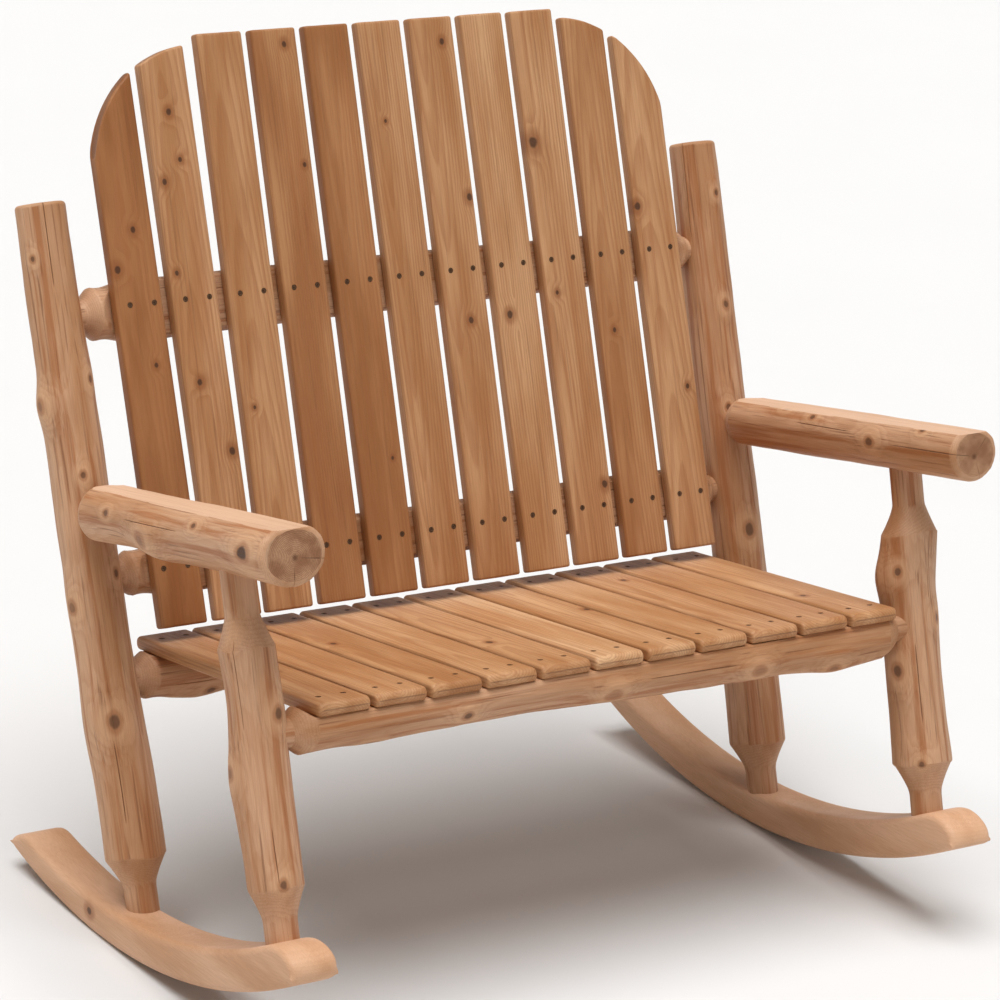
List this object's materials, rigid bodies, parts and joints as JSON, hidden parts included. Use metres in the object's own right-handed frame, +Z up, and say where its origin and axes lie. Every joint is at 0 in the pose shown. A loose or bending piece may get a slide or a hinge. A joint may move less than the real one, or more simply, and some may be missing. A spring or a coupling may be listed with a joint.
{
  "type": "log double rocking chair",
  "caption": "Two-seat garden rocking chair of round peeled logs with a slatted back with round corners, a slatted seat, flat-topped log arms and curved sawn rockers.",
  "frame": {"origin": "on the floor under the middle of the chair, at the bottom centre of its bounding box", "axes": "+X across the chair, towards the right-hand arm seen from the front; -Y the way the seat faces; +Z up, with the chair standing empty and at rest on its rockers"},
  "size_m": [1.2238, 0.9264, 1.2298],
  "materials": {
    "log_wood": "peeled and sanded cedar log, satin, with long streaks, knots and small checks",
    "slat_wood": "planed cedar board, satin, with cathedral grain and small dark knots",
    "rocker_wood": "smooth sawn cedar, satin",
    "screw_steel": "dark coated countersunk screw"
  },
  "bodies": {
    "root": {"rocker_left": "rocker_wood", "rocker_right": "rocker_wood", "rear_post_left": "log_wood", "rear_post_right": "log_wood", "front_post_left": "log_wood", "front_post_right": "log_wood", "arm_left": "log_wood", "arm_right": "log_wood", "upper_back_rail": "log_wood", "lower_back_rail": "log_wood", "rear_seat_rail": "log_wood", "front_seat_rail": "log_wood", "back_slat_1": "slat_wood", "back_slat_2": "slat_wood", "back_slat_3": "slat_wood", "back_slat_4": "slat_wood", "back_slat_5": "slat_wood", "back_slat_6": "slat_wood", "back_slat_7": "slat_wood", "back_slat_8": "slat_wood", "back_slat_9": "slat_wood", "back_slat_10": "slat_wood", "back_slat_11": "slat_wood", "seat_slat_1": "slat_wood", "seat_slat_2": "slat_wood", "seat_slat_3": "slat_wood", "seat_slat_4": "slat_wood", "seat_slat_5": "slat_wood", "seat_slat_6": "slat_wood", "seat_slat_7": "slat_wood", "seat_slat_8": "slat_wood", "seat_slat_9": "slat_wood", "seat_slat_10": "slat_wood", "seat_slat_11": "slat_wood", "back_screws_upper": "screw_steel", "back_screws_lower": "screw_steel", "seat_screws_front": "screw_steel", "seat_screws_rear": "screw_steel", "rail_lock_screws": "screw_steel", "arm_lock_screws": "screw_steel", "rocker_lag_screws": "screw_steel"}
  },
  "joints": []
}
